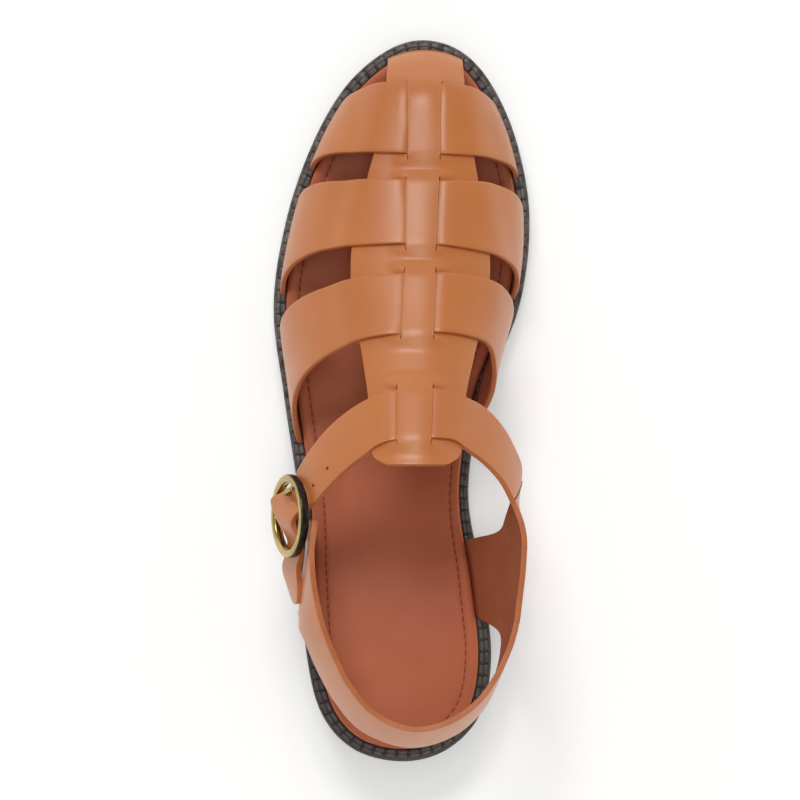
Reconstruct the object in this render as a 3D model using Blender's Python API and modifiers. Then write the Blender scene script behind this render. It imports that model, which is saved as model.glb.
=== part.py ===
# Fisherman sandal, left shoe. X medial (+) to lateral (-), Y heel (-) to toe (+), Z up, floor at 0.
# Metres. The sole and the upper are both drawn from one last, whose tables hold shares of the
# named sizes below.
import bmesh
import bpy
import math
from mathutils import Matrix, Vector

for old in list(bpy.data.objects):
    bpy.data.objects.remove(old, do_unlink=True)

HALF_LENGTH = 0.1328     # half the outsole's length
HALF_BALL = 0.0475       # half the outsole's width at the ball
HEEL_TOP = 0.0285        # welt's top above the floor at the heel
INSTEP_RISE = 0.060      # the last above the welt at the instep
RIM_TOP = 0.084          # collar's rim above the floor at the heel
STRAP_TOP = 0.090        # instep strap above the floor at its highest
GAP = 0.0003             # between curved pieces
WELT_THICK = 0.0027
WELT_STEP = 0.0005       # channel beside the welt's lip
MID_THICK = 0.0033
INSOLE_RISE = 0.0032     # insole's top above the welt
INSOLE_INSET = 0.0048    # insole's edge inside the sole's outline
LEATHER = 0.0020         # strap thickness
WEAVE = LEATHER - 0.0005     # rise of a strap over the one it crosses, pressed together a little
BAND_RISE = 0.0003       # centre band above its margins between the crossings
RIB = 0.0009             # depth of the groove round the sole's side
LUG_DEEP = 0.0040
LUG_GROOVE = 0.0036
LUG_REACH = 0.013        # how far a side groove runs in from the edge
LUG_PITCH = 0.013
RING_RADIUS = 0.0135     # middle of the buckle ring's bar
RING_BAR = 0.0016
RING_TILT = math.radians(67)
RING_AT = Vector((-0.842 * HALF_BALL, -0.314 * HALF_LENGTH, 0.717 * STRAP_TOP))
CENTRE_BAR = 0.0010
BAR_SINK = 0.0033        # centre bar behind the ring's plane
PRONG_BAR = 0.00085
PRONG_HOLE = PRONG_BAR + 0.0005
SLEEVE_WALL = 0.0008     # leather of the buckle's loop
TAB_REACH = 0.0090       # loop's tab behind the centre bar
TAB_THICK = 0.0015
TAB_SINK = 0.00215       # tab's middle below the centre bar
TAB_TURN = math.radians(10)
RING_N = 64              # points round the sole

# Sole outline: 13 stations, heel back to toe tip, y = -HALF_LENGTH * cos(15 deg * station).
# columns: lateral x, medial x, shares of HALF_BALL
OUTLINE = [
    (0.015, 0.015),
    (-0.366, 0.364),
    (-0.615, 0.619),
    (-0.728, 0.701),
    (-0.771, 0.636),
    (-0.800, 0.526),
    (-0.905, 0.642),
    (-0.992, 0.924),
    (-0.895, 1.006),
    (-0.697, 0.914),
    (-0.444, 0.728),
    (-0.133, 0.484),
    (0.171, 0.171),
]

# Side profile of the sole. columns: y of HALF_LENGTH, welt's top and underside of HEEL_TOP
PROFILE = [
    (-1.01, 1.004, 0.467),
    (-0.83, 0.982, 0.467),
    (-0.64, 0.954, 0.467),
    (-0.50, 0.898, 0.467),
    (-0.38, 0.828, 0.351),
    (-0.19, 0.698, 0.161),
    (-0.04, 0.607, 0.032),
    (0.07, 0.554, 0.000),
    (0.26, 0.498, 0.000),
    (0.45, 0.491, 0.000),
    (0.59, 0.509, 0.014),
    (0.72, 0.554, 0.067),
    (0.87, 0.639, 0.179),
    (1.01, 0.751, 0.316),
]
HEEL_THICK = PROFILE[0][2] * HEEL_TOP - GAP

# The last over the welt. columns: y of HALF_LENGTH, ridge x of HALF_BALL, ridge height of
# INSTEP_RISE, lateral and medial bulge of HALF_BALL, fullness
LAST = [
    (-0.34, 0.114, 1.267, 0.105, 0.505, 0.55),
    (-0.19, 0.118, 1.175, 0.095, 0.421, 0.55),
    (-0.04, 0.126, 1.058, 0.084, 0.337, 0.55),
    (0.11, 0.137, 0.925, 0.074, 0.211, 0.56),
    (0.26, 0.145, 0.792, 0.063, 0.105, 0.58),
    (0.45, 0.156, 0.633, 0.042, 0.053, 0.60),
    (0.60, 0.173, 0.525, 0.032, 0.032, 0.62),
    (0.75, 0.189, 0.425, 0.021, 0.021, 0.62),
    (0.85, 0.194, 0.350, 0.011, 0.011, 0.60),
    (0.97, 0.194, 0.233, 0.004, 0.004, 0.60),
]
TOE_START = 0.813 * HALF_LENGTH    # the last rounds down to the toe from here
TOE_END = HALF_LENGTH - INSOLE_INSET + 0.0005
TOE_MIDDLE = 0.181 * HALF_BALL

# Cross straps. A row per girth station w, 0 at the welt and 1 at the ridge.
# columns: w, lateral front y, lateral rear y, medial front y, medial rear y of HALF_LENGTH
STRAPS = {
    "toe_strap": [
        (0.00, 0.813, 0.636, 0.806, 0.614),
        (0.25, 0.843, 0.667, 0.832, 0.644),
        (0.50, 0.860, 0.677, 0.850, 0.660),
        (0.75, 0.863, 0.673, 0.857, 0.666),
        (1.00, 0.861, 0.669, 0.861, 0.669),
    ],
    "ball_strap": [
        (0.00, 0.553, 0.290, 0.512, 0.279),
        (0.25, 0.586, 0.364, 0.563, 0.354),
        (0.50, 0.598, 0.405, 0.587, 0.388),
        (0.75, 0.598, 0.414, 0.594, 0.406),
        (1.00, 0.595, 0.419, 0.593, 0.420),
    ],
    "waist_strap": [
        (0.00, 0.177, -0.120, 0.158, -0.075),
        (0.25, 0.245, 0.015, 0.264, 0.038),
        (0.50, 0.294, 0.102, 0.313, 0.139),
        (0.75, 0.325, 0.154, 0.334, 0.169),
        (1.00, 0.339, 0.175, 0.339, 0.175),
    ],
}

# Centre strap. columns: y of HALF_LENGTH, left and right x, band's left and right x of
# HALF_BALL, band's lift over a crossing
CENTRE = [
    (-0.177, -0.095, 0.326, -0.021, 0.242, 0.0),
    (-0.162, -0.175, 0.400, -0.021, 0.232, 0.0),
    (-0.143, -0.198, 0.425, -0.021, 0.223, 0.1),
    (-0.113, -0.206, 0.429, -0.021, 0.219, 1.0),
    (-0.045, -0.219, 0.446, -0.021, 0.227, 1.0),
    (0.023, -0.236, 0.472, -0.019, 0.232, 1.0),
    (0.060, -0.253, 0.493, -0.013, 0.234, 0.1),
    (0.120, -0.278, 0.531, 0.000, 0.236, 0.0),
    (0.154, -0.299, 0.554, 0.006, 0.238, 0.1),
    (0.181, -0.316, 0.573, 0.011, 0.240, 1.0),
    (0.331, -0.366, 0.653, 0.032, 0.257, 1.0),
    (0.361, -0.366, 0.657, 0.038, 0.259, 0.1),
    (0.399, -0.362, 0.653, 0.042, 0.261, 0.1),
    (0.429, -0.349, 0.640, 0.042, 0.263, 1.0),
    (0.587, -0.251, 0.577, 0.046, 0.286, 1.0),
    (0.614, -0.238, 0.568, 0.051, 0.291, 0.1),
    (0.648, -0.211, 0.552, 0.055, 0.293, 0.1),
    (0.678, -0.189, 0.539, 0.059, 0.295, 1.0),
    (0.851, -0.103, 0.476, 0.063, 0.301, 1.0),
    (0.881, -0.095, 0.472, 0.063, 0.303, 0.1),
    (0.968, -0.080, 0.459, 0.063, 0.303, 0.0),
]

# Instep strap, from the end of its billet, through the buckle and over the foot. columns: lower
# edge x, y, z, upper edge x, y, z of HALF_BALL, HALF_LENGTH and STRAP_TOP, belly of LEATHER.
# A z of 0 is worked out from the last.
INSTEP = [
    (-0.893, -0.576, 0.540, -0.842, -0.576, 0.628, 0.1),
    (-0.907, -0.557, 0.504, -0.808, -0.565, 0.651, 0.15),
    (-0.914, -0.512, 0.511, -0.787, -0.516, 0.672, 0.2),
    (-0.905, -0.456, 0.540, -0.758, -0.456, 0.702, 0.1),
    (-0.838, -0.416, 0.589, -0.728, -0.418, 0.733, 0.0),
    (-0.825, -0.375, 0.638, -0.743, -0.372, 0.756, 0.0),
    (-0.922, -0.321, 0.636, -0.792, -0.337, 0.758, 0.0),
    (-0.981, -0.273, 0.607, -0.771, -0.316, 0.771, 0.1),
    (-0.897, -0.258, 0.651, -0.741, -0.306, 0.787, 0.0),
    (-0.804, -0.241, 0.669, -0.695, -0.298, 0.807, 0.0),
    (-0.771, -0.212, 0.676, -0.648, -0.285, 0.827, 0.0),
    (-0.728, -0.181, 0.707, -0.598, -0.268, 0.849, 0.15),
    (-0.653, -0.139, 0.740, -0.526, -0.238, 0.871, 0.2),
    (-0.522, -0.081, 0.778, -0.404, -0.193, 0.898, 0.2),
    (-0.362, -0.032, 0.818, -0.257, -0.151, 0.929, 0.15),
    (-0.181, 0.005, 0.0, -0.131, -0.120, 0.0, 0.0),
    (0.042, 0.024, 0.0, 0.042, -0.107, 0.0, 0.0),
    (0.253, 0.025, 0.0, 0.232, -0.106, 0.0, 0.0),
    (0.442, 0.006, 0.0, 0.371, -0.110, 0.0, 0.0),
    (0.585, -0.020, 0.750, 0.484, -0.137, 0.894, 0.15),
    (0.716, -0.065, 0.706, 0.619, -0.173, 0.872, 0.2),
    (0.817, -0.125, 0.667, 0.733, -0.217, 0.851, 0.2),
    (0.884, -0.200, 0.633, 0.808, -0.265, 0.839, 0.2),
]

# Quarters and heel strap, one wall from the medial side round the heel to the lateral side.
# columns: foot's angle round the sole, rim x, y, z of HALF_BALL, HALF_LENGTH and RIM_TOP,
# belly of LEATHER, height share of the lower edge
COLLAR = [
    (72.5, 0.876, -0.321, 0.905, 1.9, 0.63),
    (69.5, 0.905, -0.364, 0.910, 1.5, 0.47),
    (67.9, 0.909, -0.392, 0.914, 1.4, 0.10),
    (67.1, 0.907, -0.407, 0.917, 1.35, 0.00),
    (63.1, 0.897, -0.459, 0.926, 1.2, 0.00),
    (58.2, 0.876, -0.523, 0.936, 1.1, 0.00),
    (53.8, 0.855, -0.584, 0.944, 1.1, 0.00),
    (52.6, 0.846, -0.599, 0.946, 1.1, 0.14),
    (50.5, 0.829, -0.625, 0.950, 1.1, 0.46),
    (46.2, 0.787, -0.670, 0.957, 1.1, 0.57),
    (39.0, 0.699, -0.735, 0.969, 1.2, 0.60),
    (29.0, 0.560, -0.803, 0.983, 1.3, 0.62),
    (15.5, 0.345, -0.855, 0.995, 1.4, 0.63),
    (0.0, 0.088, -0.873, 1.000, 1.4, 0.63),
    (-15.5, -0.173, -0.836, 0.995, 1.4, 0.63),
    (-28.0, -0.358, -0.764, 0.983, 1.4, 0.62),
    (-38.0, -0.484, -0.690, 0.971, 1.5, 0.60),
    (-45.5, -0.577, -0.622, 0.960, 1.7, 0.57),
    (-49.8, -0.619, -0.580, 0.952, 1.9, 0.44),
    (-52.2, -0.636, -0.551, 0.948, 1.95, 0.12),
    (-53.4, -0.644, -0.539, 0.945, 1.9, 0.00),
    (-59.2, -0.661, -0.474, 0.940, 1.2, 0.00),
    (-64.6, -0.646, -0.407, 0.936, 0.55, 0.00),
    (-67.9, -0.631, -0.358, 0.931, 0.45, 0.00),
    (-69.1, -0.627, -0.342, 0.924, 0.45, 0.10),
    (-70.4, -0.622, -0.325, 0.910, 0.45, 0.46),
]


def smooth(rows, column, at):
    """Cubic through one column of rows that are sorted by their first column."""
    at = min(max(at, rows[0][0]), rows[-1][0])
    k = 0
    while k < len(rows) - 2 and rows[k + 1][0] < at:
        k += 1
    x0, x1 = rows[k][0], rows[k + 1][0]
    y0, y1 = rows[k][column], rows[k + 1][column]
    step = x1 - x0
    secant = (y1 - y0) / step
    before = (y0 - rows[k - 1][column]) / (x0 - rows[k - 1][0]) if k else secant
    at_end = k + 2 >= len(rows)
    after = secant if at_end else (rows[k + 2][column] - y1) / (rows[k + 2][0] - x1)
    m0 = 0.0 if before * secant <= 0 else (before + secant) / 2
    m1 = 0.0 if after * secant <= 0 else (after + secant) / 2
    t = (at - x0) / step
    return ((1 + 2 * t) * (1 - t) ** 2 * y0 + t * (1 - t) ** 2 * step * m0
            + t * t * (3 - 2 * t) * y1 + t * t * (t - 1) * step * m1)


def catmull(a, b, c, d, t):
    """Point on the curve from b to c."""
    return 0.5 * (2 * b + (c - a) * t + (2 * a - 5 * b + 4 * c - d) * t * t
                  + (3 * b - a - 3 * c + d) * t ** 3)


ROUND_X = [row[1] for row in OUTLINE] + [row[0] for row in OUTLINE[11:0:-1]]


def plain_rim(angle):
    """Sole outline. Angle 0 is the heel's back, 90 deg the medial side, 180 deg the toe."""
    place = (angle / (2 * math.pi) * 24) % 24
    k = int(place)
    x = catmull(*[ROUND_X[(k + j) % 24] for j in (-1, 0, 1, 2)], place - k)
    return Vector((x * HALF_BALL, -HALF_LENGTH * math.cos(angle), 0))


def rim(angle, inset):
    ahead = plain_rim(angle + 0.01) - plain_rim(angle - 0.01)
    outside = Vector((ahead.y, -ahead.x, 0)).normalized()
    # the shank's medial side has a narrower border
    shank = math.exp(-((math.degrees(angle) - 78) / 16) ** 2)
    return plain_rim(angle) - outside * inset * (1 - 0.28 * shank)


def foot_x(side, y, inset):
    """x of the inset outline at y, side -1 lateral or 1 medial."""
    low, high = 0.02, math.pi - 0.02
    for _ in range(30):
        middle = (low + high) / 2
        if rim(side * middle, inset).y < y:
            low = middle
        else:
            high = middle
    return rim(side * low, inset).x


def welt_top(y):
    return smooth(PROFILE, 1, y / HALF_LENGTH) * HEEL_TOP


def ground(y):
    return smooth(PROFILE, 2, y / HALF_LENGTH) * HEEL_TOP


def last_height(y):
    height = smooth(LAST, 2, y / HALF_LENGTH) * INSTEP_RISE
    if y > TOE_START:
        share = min((y - TOE_START) / (TOE_END - TOE_START), 1)
        height *= (1 - share ** 2.2) ** 0.5
    return height


def ridge_x(y):
    return smooth(LAST, 1, y / HALF_LENGTH) * HALF_BALL


FEET = {}


def last_foot(side, y):
    key = (side, round(y * 4000))
    if key not in FEET:
        FEET[key] = foot_x(side, key[1] / 4000, INSOLE_INSET - GAP)
    return FEET[key]


def last(side, y, w):
    """Point on the last: w 0 at the welt, 1 at the ridge."""
    foot, ridge = last_foot(side, y), ridge_x(y)
    bulge = side * smooth(LAST, 3 if side < 0 else 4, y / HALF_LENGTH) * HALF_BALL
    full = smooth(LAST, 5, y / HALF_LENGTH)
    shares = ((1 - w) ** 3, 3 * (1 - w) ** 2 * w, 3 * (1 - w) * w * w, w ** 3)
    across = (foot, foot + bulge, ridge + full * (foot + bulge - ridge), ridge)
    x = sum(a * b for a, b in zip(shares, across))
    height = last_height(y) * (0.55 * shares[1] + shares[2] + shares[3])
    return Vector((x, y, welt_top(y) + GAP + height))


def toe_bow(x, y):
    """How far the toe end of the centre strap lies behind its middle."""
    off = (x - TOE_MIDDLE) / HALF_BALL
    return 0.323 * HALF_LENGTH * off ** 2 * min(max((y / HALF_LENGTH - 0.72) / 0.2, 0), 1)


def on_last(x, y):
    """Point on the last near the ridge, where x is its plan position and y its distance back."""
    section = min(y, TOE_START)
    side = -1 if x < ridge_x(y) else 1
    low, high = 0.0, 1.0
    for _ in range(26):
        middle = (low + high) / 2
        if (last(side, section, middle).x - x) * side > 0:
            low = middle
        else:
            high = middle
    crown = (last(side, section, low).z - welt_top(section) - GAP) / last_height(section)
    place = y - toe_bow(x, y)
    return Vector((x, place, welt_top(place) + GAP + crown * last_height(y)))


def take(name):
    """The object that an operator has just made, named."""
    item = bpy.context.object
    item.name = name
    return item


def change(item, kind, **settings):
    """Adds a modifier and applies it."""
    added = item.modifiers.new(kind.lower(), kind)
    for key, value in settings.items():
        setattr(added, key, value)
    bpy.context.view_layer.objects.active = item
    bpy.ops.object.modifier_apply(modifier=added.name)


def combine(item, other, kind):
    change(item, "BOOLEAN", operation=kind, solver="EXACT", object=other)
    bpy.data.objects.remove(other, do_unlink=True)


def keep_largest(item):
    """Drops the slivers that a union leaves where two straps lie almost face to face."""
    work = bmesh.new()
    work.from_mesh(item.data)
    left, groups = set(work.verts), []
    while left:
        waiting = [left.pop()]
        groups.append(list(waiting))
        while waiting:
            near = {v for edge in waiting.pop().link_edges for v in edge.verts} & left
            left -= near
            waiting += near
            groups[-1] += near
    groups.sort(key=len)
    bmesh.ops.delete(work, geom=[v for group in groups[:-1] for v in group], context="VERTS")
    work.to_mesh(item.data)
    work.free()


def on_welt(point):
    """Feet of the straps end level, just above the welt."""
    return Vector((point.x, point.y, max(point.z, welt_top(point.y) + GAP)))


def wall(name, grid, lift=None):
    """Leather sheet: grid[i][j] is its inner face, lift(i) moves a row outward first."""
    rows, columns = len(grid), len(grid[0])
    bpy.ops.mesh.primitive_grid_add(x_subdivisions=columns - 1, y_subdivisions=rows - 1, size=1)
    item = take(name)
    for i in range(rows):
        for j in range(columns):
            point = grid[i][j]
            if lift:
                along = grid[min(i + 1, rows - 1)][j] - grid[max(i - 1, 0)][j]
                across = grid[i][min(j + 1, columns - 1)] - grid[i][max(j - 1, 0)]
                point = point + along.cross(across).normalized() * lift(i)
            item.data.vertices[i * columns + j].co = on_welt(point)
    change(item, "SOLIDIFY", thickness=LEATHER, offset=-1)
    for vertex in item.data.vertices:
        vertex.co = on_welt(vertex.co)
    return item


def loft(name, loops, ring=False):
    """Loops round the sole joined in order; closed by two caps, or onto itself for a ring."""
    count = len(loops[0])
    faces = []
    for k in range(len(loops) if ring else len(loops) - 1):
        a, b = k * count, ((k + 1) % len(loops)) * count
        faces += [(a + j, a + (j + 1) % count, b + (j + 1) % count, b + j) for j in range(count)]
    if not ring:
        # a cap is strips from side to side, so it follows the sole's profile
        for base, step in ((0, -1), ((len(loops) - 1) * count, 1)):
            for j in range(count // 2):
                strip = [j, j + 1, (count - j - 1) % count, (count - j) % count]
                strip = [base + corner for corner in dict.fromkeys(strip)]
                faces.append(tuple(strip[::step]))
    mesh = bpy.data.meshes.new(name)
    mesh.from_pydata([point for loop in loops for point in loop], [], faces)
    item = bpy.data.objects.new(name, mesh)
    bpy.context.scene.collection.objects.link(item)
    return item


def loop(inset, height):
    """Loop of points at an inset; height is a function of y."""
    points = [rim(2 * math.pi * k / RING_N, inset) for k in range(RING_N)]
    return [Vector((p.x, p.y, height(p.y))) for p in points]


def groove(x, y, along, across, turn, low, high):
    """Box cutter centred on x, y and turned in plan by an angle in degrees."""
    bpy.ops.mesh.primitive_cube_add(size=1, location=(x, y, (low + high) / 2),
                                    rotation=(0, 0, math.radians(turn)),
                                    scale=(along, across, high - low))
    return take("cutter")


# outsole: ribbed side, lugs cut from below, waist raised off the floor
def out_top(y):
    return welt_top(y) - WELT_THICK - MID_THICK - 2 * GAP


def out_at(share):
    return lambda y: ground(y) + share * (out_top(y) - ground(y))


outsole = loft("outsole", [
    loop(1.3 * RIB, out_at(0.0)), loop(0.5 * RIB, out_at(0.12)), loop(0.3 * RIB, out_at(0.46)),
    loop(1.2 * RIB, out_at(0.52)), loop(1.2 * RIB, out_at(0.62)), loop(0.2 * RIB, out_at(0.68)),
    loop(0.0, out_at(0.92)), loop(0.6 * RIB, out_at(1.0)),
])
for side in (-1, 1):
    for k in range(9):
        y = 0.06 * HALF_LENGTH + LUG_PITCH * k
        x = foot_x(side, min(y, 0.935 * HALF_LENGTH), 0.46 * LUG_REACH)
        cutter = groove(x, y, 2 * LUG_REACH, LUG_GROOVE, side * (-8 + 6.0 * k),
                        ground(y) - 1.5 * LUG_DEEP, ground(y) + LUG_DEEP)
        combine(outsole, cutter, "DIFFERENCE")
for k in range(6):
    y = 0.11 * HALF_LENGTH + 1.15 * LUG_PITCH * k
    x = ridge_x(y) - 0.126 * HALF_BALL * (k < 3)
    for turn in (45, -45):
        cutter = groove(x, y, 1.3 * LUG_REACH, 0.9 * LUG_GROOVE, turn,
                        ground(y) - 1.5 * LUG_DEEP, ground(y) + LUG_DEEP)
        combine(outsole, cutter, "DIFFERENCE")

# heel block with its own lugs and a straight breast
heel_block = loft("heel_block", [
    loop(1.3 * RIB, lambda y: 0.0), loop(0.2 * RIB, lambda y: 0.09 * HEEL_THICK),
    loop(0.3 * RIB, lambda y: 0.58 * HEEL_THICK), loop(1.2 * RIB, lambda y: 0.64 * HEEL_THICK),
    loop(1.2 * RIB, lambda y: 0.72 * HEEL_THICK), loop(0.3 * RIB, lambda y: 0.77 * HEEL_THICK),
    loop(0.3 * RIB, lambda y: HEEL_THICK),
])
BREAST_Y = -0.525 * HALF_LENGTH
front = groove(0, BREAST_Y + HALF_LENGTH, 3 * HALF_BALL, 2 * HALF_LENGTH, 0,
               -HEEL_THICK, 2 * HEEL_THICK)
combine(heel_block, front, "DIFFERENCE")
for side in (-1, 1):
    for k in range(3):
        y = BREAST_Y - 1.2 * LUG_PITCH - 1.04 * LUG_PITCH * k
        x = foot_x(side, y, 0.3 * LUG_REACH)
        cutter = groove(x, y, 1.7 * LUG_REACH, LUG_GROOVE, side * (4 - 14 * k), -LUG_DEEP, LUG_DEEP)
        combine(heel_block, cutter, "DIFFERENCE")
back = groove(0.015 * HALF_BALL, -HALF_LENGTH, LUG_GROOVE, 1.4 * LUG_REACH, 0, -LUG_DEEP, LUG_DEEP)
combine(heel_block, back, "DIFFERENCE")
for turn in (45, -45):
    cutter = groove(0, BREAST_Y - 2.1 * LUG_PITCH, 1.3 * LUG_REACH, 0.9 * LUG_GROOVE, turn,
                    -LUG_DEEP, LUG_DEEP)
    combine(heel_block, cutter, "DIFFERENCE")

midsole = loft("midsole", [
    loop(RIB, lambda y: welt_top(y) - WELT_THICK - MID_THICK - GAP),
    loop(RIB, lambda y: welt_top(y) - WELT_THICK - GAP),
])

# welt: a ring round the insole, with a lip at its inner edge
WELT_IN = INSOLE_INSET - GAP
welt = loft("welt", [
    loop(0.0002, lambda y: welt_top(y) - WELT_THICK),
    loop(0.0, lambda y: welt_top(y) - 0.7 * WELT_THICK),
    loop(0.0002, lambda y: welt_top(y) - 0.33 * WELT_THICK),
    loop(0.2 * WELT_IN, lambda y: welt_top(y) - WELT_STEP),
    loop(0.53 * WELT_IN, lambda y: welt_top(y) - WELT_STEP), loop(0.58 * WELT_IN, welt_top),
    loop(WELT_IN, welt_top), loop(WELT_IN, lambda y: welt_top(y) - WELT_THICK),
], ring=True)


def seat(y):
    return welt_top(y) + INSOLE_RISE


insole = loft("insole", [
    loop(INSOLE_INSET, lambda y: welt_top(y) - WELT_THICK),
    loop(INSOLE_INSET, lambda y: seat(y) - 0.5 * INSOLE_RISE),
    loop(INSOLE_INSET + 0.16 * INSOLE_RISE, lambda y: seat(y) - 0.16 * INSOLE_RISE),
    loop(INSOLE_INSET + 0.53 * INSOLE_RISE, seat),
    loop(INSOLE_INSET + 2.8 * INSOLE_RISE, lambda y: seat(y) - 0.22 * INSOLE_RISE),
])

# upper: cross straps on the last, woven through the centre strap
STEPS = [0.0, 0.06, 0.13, 0.21, 0.3, 0.4, 0.5, 0.6, 0.69, 0.77, 0.84, 0.9, 0.95]


def strap_lift(w):
    """Cross straps lie on the welt at their feet and over the centre strap at the ridge."""
    share = min(max((w - 0.3) / 0.3, 0), 1)
    return WEAVE * share * share * (3 - 2 * share)


def cross_strap(name, rows):
    stations = [(-1, w) for w in STEPS] + [(1, 1.0)] + [(1, w) for w in reversed(STEPS)]
    grid = []
    for side, w in stations:
        columns = (1, 2) if side < 0 else (3, 4)
        front, rear = [smooth(rows, column, w) * HALF_LENGTH for column in columns]
        grid.append([last(side, rear + (front - rear) * j / 4, w) for j in range(5)])
    return wall(name, grid, lambda i: strap_lift(stations[i][1]))


def centre_rows():
    """Stations along the centre strap, close together over the toe."""
    toe = [TOE_START + (TOE_END - TOE_START) * math.sin(math.radians(a))
           for a in (90, 80, 68, 55, 42, 28, 14)]
    end = CENTRE[0][0] * HALF_LENGTH
    return toe + [TOE_START + (end - TOE_START) * k / 40 for k in range(41)]


def centre_strip(name, left, right, lift):
    """Strip of the centre strap between two plan edges, three points across."""
    places = centre_rows()
    grid = [[on_last(left(y) + (right(y) - left(y)) * j / 2, y) for j in range(3)] for y in places]
    return wall(name, grid, lambda i: lift(places[i]))


def centre(column, add=0.0):
    return lambda y: smooth(CENTRE, column, y / HALF_LENGTH) * HALF_BALL + add


def band_lift(y):
    return BAND_RISE + (2 * WEAVE - BAND_RISE) * smooth(CENTRE, 5, y / HALF_LENGTH)


LAP = 0.1 * LEATHER      # the band's edges lap its margins by this
upper = centre_strip("upper", centre(1), centre(3, LAP), lambda y: 0)
margin = centre_strip("margin", centre(4, -LAP), centre(2), lambda y: 0)
band = centre_strip("band", centre(3), centre(4), band_lift)


def between_rows(rows, fine):
    """Control rows joined by smooth curves, with fine rows for each of them."""
    result = []
    for k in range(len(rows) - 1):
        near = [rows[min(max(k + j, 0), len(rows) - 1)] for j in (-1, 0, 1, 2)]
        for step in range(fine):
            result.append([catmull(*points, step / fine) for points in zip(*near)])
    return result + [rows[-1]]


ACROSS = 5


def edge_point(x, y, z):
    """Edge of the instep strap; it lies on the centre strap where z is 0."""
    if z:
        return Vector((x * HALF_BALL, y * HALF_LENGTH, z * STRAP_TOP))
    return on_last(x * HALF_BALL, y * HALF_LENGTH) + Vector((0, 0, WEAVE))


def bellied(top, bottom, outside, belly):
    """Row of points from the upper to the lower edge, swelled outward between them."""
    shares = [j / ACROSS for j in range(ACROSS + 1)]
    return [top.lerp(bottom, s) + outside * belly(s) for s in shares]


def instep_rows():
    rows = []
    for *edges, belly in INSTEP:
        low, high = edge_point(*edges[:3]), edge_point(*edges[3:])
        outside = Vector(((low.x + high.x) / 2 - 0.1 * HALF_BALL, 0, 0.28 * STRAP_TOP)).normalized()
        rows.append(bellied(high, low, outside, lambda s: belly * LEATHER * 4 * s * (1 - s)))
    return rows


def collar_rows():
    rows = []
    for angle, x, y, z, belly, share in COLLAR:
        foot = rim(math.radians(angle), INSOLE_INSET - GAP)
        foot.z = welt_top(foot.y) + GAP
        top = Vector((x * HALF_BALL, y * HALF_LENGTH, z * RIM_TOP))
        behind = min((foot.y + top.y) / 2 + 0.69 * HALF_LENGTH, 0)
        outside = Vector((foot.x + top.x - 0.08 * HALF_BALL, behind, 0)).normalized()
        down = 1 - share
        rows.append(bellied(top, top.lerp(foot, down), outside,
                            lambda s: belly * LEATHER * 4 * s * down * (1 - s * down)))
    return rows


pieces = [margin, band] + [cross_strap(name, rows) for name, rows in STRAPS.items()]
pieces.append(wall("instep", between_rows(instep_rows() + collar_rows(), 2)))
for piece in pieces:
    combine(upper, piece, "UNION")
keep_largest(upper)


# buckle on the lateral side; its own frame runs toward the toe, up its slope and outward
def in_ring(front, up, out):
    """Point in the ring's frame: front and up as shares of its radius, out in metres."""
    c, s = math.cos(RING_TILT), math.sin(RING_TILT)
    up *= RING_RADIUS
    return RING_AT + Vector((up * c - out * s, front * RING_RADIUS, up * s + out * c))


def bar(name, points, thick, sides):
    """Round bar along points, made a closed mesh."""
    curve = bpy.data.curves.new(name, "CURVE")
    curve.dimensions = "3D"
    curve.bevel_depth = thick
    curve.bevel_resolution = (sides - 4) // 2
    curve.use_fill_caps = True
    line = curve.splines.new("POLY")
    line.points.add(len(points) - 1)
    for place, point in zip(line.points, points):
        place.co = (*point, 1)
    guide = bpy.data.objects.new(name + "_guide", curve)
    bpy.context.scene.collection.objects.link(guide)
    bpy.context.view_layer.update()
    ready = guide.evaluated_get(bpy.context.evaluated_depsgraph_get())
    mesh = bpy.data.meshes.new_from_object(ready)
    bpy.data.objects.remove(guide, do_unlink=True)
    work = bmesh.new()
    work.from_mesh(mesh)
    bmesh.ops.remove_doubles(work, verts=work.verts, dist=0.00001)
    work.to_mesh(mesh)
    work.free()
    item = bpy.data.objects.new(name, mesh)
    bpy.context.scene.collection.objects.link(item)
    return item


bpy.ops.mesh.primitive_torus_add(major_radius=RING_RADIUS, minor_radius=RING_BAR,
                                 major_segments=32, minor_segments=8,
                                 location=RING_AT, rotation=(0, -RING_TILT, 0))
buckle_ring = take("buckle_ring")

# centre bar, sunk behind the ring's plane so that the billet passes over it
sunk = [(0.97, 0.18), (0.88, 0.6), (0.72, 1.0), (0.3, 1.0)]
sunk += [(-up, depth) for up, depth in reversed(sunk)]
combine(buckle_ring, bar("cross", [in_ring(0, up, -depth * BAR_SINK) for up, depth in sunk],
                         CENTRE_BAR, 8), "UNION")

# prong: an eye round the centre bar, a bar under the billet, and a tip on the front limb.
# columns: front and up of RING_RADIUS, out of the clearance over the ring
EYE = CENTRE_BAR + GAP + PRONG_BAR
OVER = RING_BAR + GAP + PRONG_BAR
PRONG = [
    (0.340, 0.010, -1.89),
    (0.519, 0.015, -2.11),
    (0.578, -0.074, -0.73),
    (0.607, -0.030, 0.58),
    (0.696, 0.178, 1.09),
    (0.844, 0.504, 1.09),
]
start = in_ring(0.98 * EYE / RING_RADIUS, 0, -BAR_SINK - 0.18 * EYE)
path = between_rows([[start]] + [[in_ring(front, up, out * OVER)] for front, up, out in PRONG], 2)
buckle_prong = bar("buckle_prong", [row[0] for row in path], PRONG_BAR, 6)
bpy.ops.mesh.primitive_torus_add(major_radius=EYE, minor_radius=PRONG_BAR, major_segments=14,
                                 minor_segments=6, location=in_ring(0, 0, -BAR_SINK),
                                 rotation=(0, math.pi / 2 - RING_TILT, 0))
combine(buckle_prong, take("eye"), "UNION")
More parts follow.
